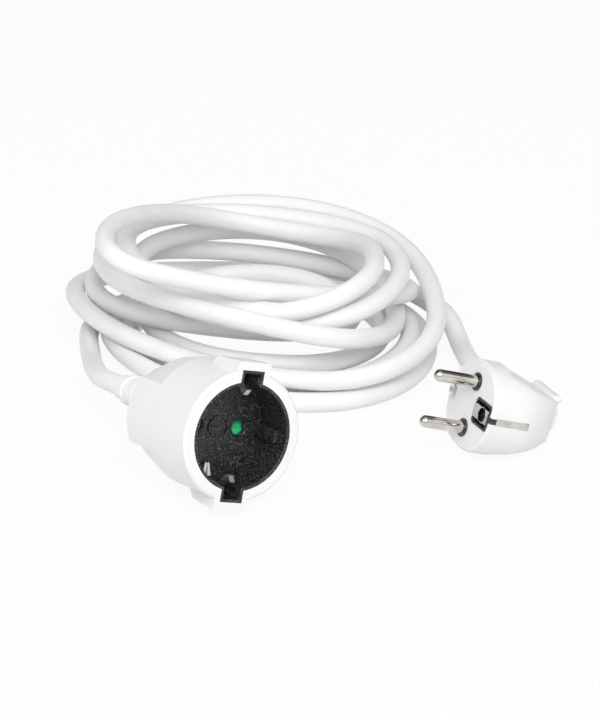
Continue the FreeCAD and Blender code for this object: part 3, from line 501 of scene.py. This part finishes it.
def makePlugStraps(materials):
    # near side: a plate whose hole has a raised edge, and the strip down the plug's side
    # far side: a plate with a neck, and the strip down that side
    plate, rings = plateShape, []
    for z, inset in plate["outside"]:
        rings.append(roundedRing(plate["halfX"] - inset, plate["halfY"] - inset, plate["corner"], z,
                                 plate["around"], plate["x"]))
    for z, grow in plate["inside"]:
        rings.append(circleRing(plate["hole"] + grow, z, plate["around"], plate["holeX"]))
    near = [(np.array(rings), False), (blockRings(**nearStrip), True)]
    far = [(blockRings(**block), True) for block in farBlocks]
    nickel = materials["nickel"]
    return [makePiece("nearStrap", near, plugPose, "plug_earth_strap", nickel),
            makePiece("farStrap", far, plugPose, "plug_earth_strip", nickel)]


# socket

wellShape = dict(inside=19.5, outside=20.75, depth=17.5, back=20.0, halfNotch=3.6, halfSeat=4.8, notch=23.8,
                 seat=25.0, notchEnd=11.6, notchFoot=15.9, seatEnd=12.8, seatFoot=17.1, edge=0.2,
                 pinX=9.5, pinHole=2.75, sink=0.7)
floorMark = dict(radius=4.25, wall=0.4, height=0.7, sunk=0.2, around=64,
                 bar=dict(y=(-0.2, 0.2), z=(-17.7, -16.9), edge=0.05))
guideRib = dict(x=(17.2, 19.7), y=(-2.5, 2.5), z=(-17.6, -4.5), edge=0.3)


def notchAngles(count=180):
    # even steps, and the exact directions of the notches' corners and of their sides on the circles
    shape = wellShape
    first = []
    for half, high, radius in ((shape["halfNotch"], shape["notch"], shape["inside"]),
                               (shape["halfSeat"], shape["seat"], shape["outside"])):
        first += [math.atan2(high, half), math.acos(half / radius)]
    first = np.array(first)
    exact = np.concatenate([first, np.pi - first, np.pi + first, 2 * np.pi - first])
    even = 2 * np.pi * np.arange(count) / count
    return np.unique(np.round(np.concatenate([exact, even]), 9))


def notchedRing(angle, radius, half, high, z):
    # a circle with a rectangular notch above and below
    c, s = np.maximum(abs(np.cos(angle)), 1e-9), np.maximum(abs(np.sin(angle)), 1e-9)
    reach = np.maximum(radius, np.minimum(high / s, half / c))
    return np.c_[reach * np.cos(angle), reach * np.sin(angle), np.full(len(angle), z)]


def wellWall():
    shape, angle = wellShape, notchAngles()
    edge = shape["edge"]

    def inner(depth, grow=0.0):
        high = shape["notch"] - max(depth - shape["notchEnd"], 0) + grow
        return notchedRing(angle, shape["inside"] + grow, shape["halfNotch"] + grow, high, -depth)

    def outer(depth):
        high = shape["seat"] - max(depth - shape["seatEnd"], 0)
        return notchedRing(angle, shape["outside"], shape["halfSeat"], high, -depth)

    # from its end a notch closes at 45 degrees, and by its foot the wall is round
    rings = [outer(depth) for depth in (shape["back"], shape["seatFoot"], shape["seatEnd"], 0)]
    rings.append(inner(0, edge))
    rings += [inner(depth) for depth in (edge, shape["notchEnd"], shape["notchFoot"], shape["depth"],
                                         shape["back"])]
    return np.array(rings), False


def floorHalf(side, count=160):
    # one half of the well's floor, round its pin hole
    shape = wellShape
    angle = 2 * np.pi * np.arange(count) / count
    c, s = np.cos(angle), np.sin(angle)
    x, depth, back = shape["pinX"], shape["depth"], shape["back"]
    radius = (shape["inside"] + shape["outside"]) / 2
    reach = -x * c + np.sqrt(radius ** 2 - (x * s) ** 2)
    reach = np.where(c < 0, np.minimum(reach, x / np.maximum(-c, 1e-9)), reach)
    edge = np.c_[side * (x + reach * c), reach * s]
    rings = []
    for z, hole in ((-back, shape["pinHole"]), (-depth - shape["sink"], shape["pinHole"]),
                    (-depth, shape["pinHole"] + shape["sink"])):
        rings.append(np.c_[side * (x + hole * c), hole * s, np.full(count, z)])
    rings += [np.c_[edge, np.full(count, z)] for z in (-depth, -back)]
    return np.array(rings), False


def makeInsert(materials):
    # the well with its floor, the ring and bar moulded on the floor, and the two guide ribs
    mark, depth = floorMark, wellShape["depth"]
    inside = mark["radius"] - mark["wall"]
    ring = [circleRing(radius, z - depth, mark["around"])
            for radius, z in ((mark["radius"], -mark["sunk"]), (mark["radius"], mark["height"]),
                              (inside, mark["height"]), (inside, -mark["sunk"]))]
    bar = blockRings(x=(-inside - 0.1, inside + 0.1), **mark["bar"])
    parts = [wellWall(), floorHalf(1), floorHalf(-1), (np.array(ring), False), (bar, True)]
    for side in (-1, 1):
        reach = sorted(side * x for x in guideRib["x"])
        parts.append((blockRings(**{**guideRib, "x": reach}), True))
    return makePiece("socketInsert", parts, socketPose, "socket_insert",
                     materials["black_plastic"], 35)


def stripRings(path, widths, thick, across=(0,)):
    # a bent strip: a rectangle at every point of a path in y and z, square to the way it runs
    path = np.array(path, float)
    way = np.gradient(path, axis=0)
    way /= np.linalg.norm(way, axis=1)[:, None]
    off = np.c_[-way[:, 1], way[:, 0]] * thick / 2
    rings = []
    for place, side, width, x in zip(path, off, widths, np.resize(across, len(path))):
        near, far = place - side, place + side
        low, high = x - width / 2, x + width / 2
        rings.append([(low, *near), (high, *near), (high, *far), (low, *far)])
    return np.array(rings), True


clipShape = dict(
    thick=0.6, yoke=dict(x=(-1.7, 1.7), y=(-14.8, 14.8), z=(-23.6, -23.0), edge=0.1),
    blade=[(20.4, -15.4), (20.6, -14.2), (20.6, -12.4), (20.3, -9.6), (19.5, -8.4), (15.9, -4.6),
           (15.4, -3.9), (15.6, -3.1), (17.6, -1.5)],
    widths=[3.2, 3.2, 3.1, 2.9, 2.8, 2.3, 2.2, 2.2, 2.0],
    post=[(14.5, -23.4), (14.5, -20.0), (14.5, -17.6)], postWidth=3.2,
    root=[(-13.6, -15.6), (-15.8, -15.1), (-18.2, -14.5)], legs=[0.8, 1.1, 1.5],
    apart=[0.45, 0.8, 1.0], lean=3.2)


def makeBracket(materials):
    # the two spring clips, each with a narrow nose and a flared end, and the lower one's slotted root
    shape, thick = clipShape, clipShape["thick"]
    parts = [(blockRings(**shape["yoke"]), True)]
    for side in (1, -1):
        blade = [(side * y, z) for y, z in shape["blade"]]
        post = [(side * y, z) for y, z in shape["post"]]
        parts.append(stripRings(blade, shape["widths"], thick))
        parts.append(stripRings(post, [shape["postWidth"]] * len(post), thick))
    for leg in (-1, 1):
        across = leg * np.array(shape["apart"]) - shape["lean"]
        parts.append(stripRings(shape["root"], shape["legs"], thick, across))
    return makePiece("clips", parts, socketPose, "earth_bracket", materials["dull_nickel"])


springShape = dict(radius=1.1, wire=0.2, turns=7, low=3.6, high=14.0, z=-21.5, perTurn=24, around=10,
                   travel=6.4)


def makeSpring(materials):
    # a compression spring over the shutter, made here at one fixed length; the real one shortens as the
    # shutter slides up
    shape = springShape
    share = np.linspace(0, 1, shape["turns"] * shape["perTurn"] + 1)[:, None]
    turn = 2 * np.pi * shape["turns"] * share
    angle = 2 * np.pi * np.arange(shape["around"]) / shape["around"]
    reach = shape["radius"] + shape["wire"] * np.cos(angle)
    height = shape["low"] + (shape["high"] - shape["low"]) * share + shape["wire"] * np.sin(angle)
    rings = np.stack([reach * np.cos(turn), height, shape["z"] + reach * np.sin(turn)], axis=-1)
    spring = makePiece("shutterSpring", [(rings, True)], socketPose, "shutter_spring",
                       materials["spring_steel"])
    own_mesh(spring)


# floor, background and lights

stageLook = dict(floorGrey=0.82, floorGlow=0.92, background=1.0, light=0.62,
                 bands=[(0.0, 0.35), (0.05, 0.3), (0.07, 1.0), (0.4, 1.0), (0.46, 0.1), (0.56, 0.06),
                        (0.6, 0.4), (0.66, 0.06), (1.0, 0.03)])


def mathNode(tree, operation, first, second):
    # one step of arithmetic; the second value is a socket or a plain number
    step = tree.nodes.new("ShaderNodeMath")
    step.operation = operation
    tree.links.new(first, step.inputs[0])
    if isinstance(second, (int, float)):
        step.inputs[1].default_value = second
    else:
        tree.links.new(second, step.inputs[1])
    return step.outputs[0]


def glowMaterial(name, grey, share):
    # pale and matt, but part of it is plain white to the camera, in gloss and through clear things
    material, tree, shader = newMaterial(name, (grey,) * 3, 0.9)
    glow = tree.nodes.new("ShaderNodeEmission")
    glow.inputs["Color"].default_value = (1, 1, 1, 1)
    path = tree.nodes.new("ShaderNodeLightPath")
    seen = mathNode(tree, "MAXIMUM", path.outputs["Is Camera Ray"], path.outputs["Is Glossy Ray"])
    clear = mathNode(tree, "MAXIMUM", seen, path.outputs["Is Transmission Ray"])
    mix = tree.nodes.new("ShaderNodeMixShader")
    tree.links.new(mathNode(tree, "MULTIPLY", clear, share), mix.inputs[0])
    tree.links.new(shader.outputs[0], mix.inputs[1])
    tree.links.new(glow.outputs[0], mix.inputs[2])
    tree.links.new(mix.outputs[0], tree.nodes["Material Output"].inputs["Surface"])
    return material


def makeFloor():
    mesh = bpy.data.meshes.new("floor")
    half = 6.0
    corners = [(-half, -half, 0), (half, -half, 0), (half, half, 0), (-half, half, 0)]
    mesh.from_pydata(corners, [], [(0, 1, 2, 3)])
    floor = bpy.data.objects.new("floor", mesh)
    bpy.context.scene.collection.objects.link(floor)
    mesh.materials.append(glowMaterial("floorPale", stageLook["floorGrey"], stageLook["floorGlow"]))
    print("floor", 2 * half, "m wide")


def makeWorld():
    look = stageLook
    world = bpy.data.worlds.new("world")
    bpy.context.scene.world = world
    world.use_nodes = True
    tree = world.node_tree
    back = tree.nodes["Background"]
    back.inputs["Color"].default_value = (1, 1, 1, 1)
    path = tree.nodes.new("ShaderNodeLightPath")
    where = tree.nodes.new("ShaderNodeTexCoord")
    turn = tree.nodes.new("ShaderNodeMapping")
    turn.inputs["Rotation"].default_value = (0, 0, math.radians(-layPose["turn"]))
    parts = tree.nodes.new("ShaderNodeSeparateXYZ")
    tree.links.new(where.outputs["Generated"], turn.inputs["Vector"])
    tree.links.new(turn.outputs["Vector"], parts.inputs[0])
    near = mathNode(tree, "MULTIPLY", parts.outputs["Y"], -1)
    # half a turn runs from the near horizon over the top to the far one
    over = mathNode(tree, "ARCTAN2", parts.outputs["Z"], near)
    share = ranged(tree, over, 0, 1, start=0, end=math.pi)
    # gloss sees a bright near half and a dark far half with one paler stripe
    bands = tree.nodes.new("ShaderNodeValToRGB")
    steps = bands.color_ramp.elements
    for step, (height, grey) in zip((steps[0], steps[1]), (look["bands"][0], look["bands"][-1])):
        step.position, step.color = height, (grey, grey, grey, 1)
    for height, grey in look["bands"][1:-1]:
        steps.new(height).color = (grey, grey, grey, 1)
    tree.links.new(share, bands.inputs["Fac"])
    gloss = ranged(tree, path.outputs["Is Glossy Ray"], look["light"], 1, start=0, end=1)
    tree.links.new(bands.outputs["Color"], gloss.node.inputs["To Max"])
    shown = ranged(tree, path.outputs["Is Camera Ray"], 1, look["background"], start=0, end=1)
    tree.links.new(gloss, shown.node.inputs["To Min"])
    tree.links.new(shown, back.inputs["Strength"])
    print("world light", look["light"])


lampAim = (0.08, 0.04, 0.02)
lamps = [
    dict(name="keyLamp", place=(-0.45, -1.05, 0.95), size=0.7, power=10.8),
    dict(name="fillLamp", place=(-1.0, -0.2, 0.9), size=1.2, power=2.5),
    dict(name="topLamp", place=(0.2, 0.1, 1.9), size=1.4, power=2),
]


def makeLamps():
    for lamp in lamps:
        data = bpy.data.lights.new(lamp["name"], "AREA")
        data.shape = "DISK"
        data.size = lamp["size"]
        data.energy = lamp["power"]
        item = bpy.data.objects.new(lamp["name"], data)
        bpy.context.scene.collection.objects.link(item)
        item.location = lamp["place"]
        aim = Vector(lampAim) - item.location
        item.rotation_euler = aim.to_track_quat("-Z", "Y").to_euler()
        print(lamp["name"], "power", lamp["power"])


# scene

makeCamera()
materials = makeMaterials()
dressNodes(materials)
cord, cordRoute = makeCord(materials)
makeInsert(materials)
makeBracket(materials)
makeSpring(materials)
plugPieces = [frame["nodes"][name] for name in ("plug_pin_live", "plug_pin_neutral", "plug_earth_sleeve",
                                                "plug_strain_relief")]
plugPieces += [makePlugBody(materials), makePlugCore(materials)] + makePlugStraps(materials)
makeFloor()
makeWorld()
makeLamps()
bpy.context.scene.view_settings.view_transform = "Standard"
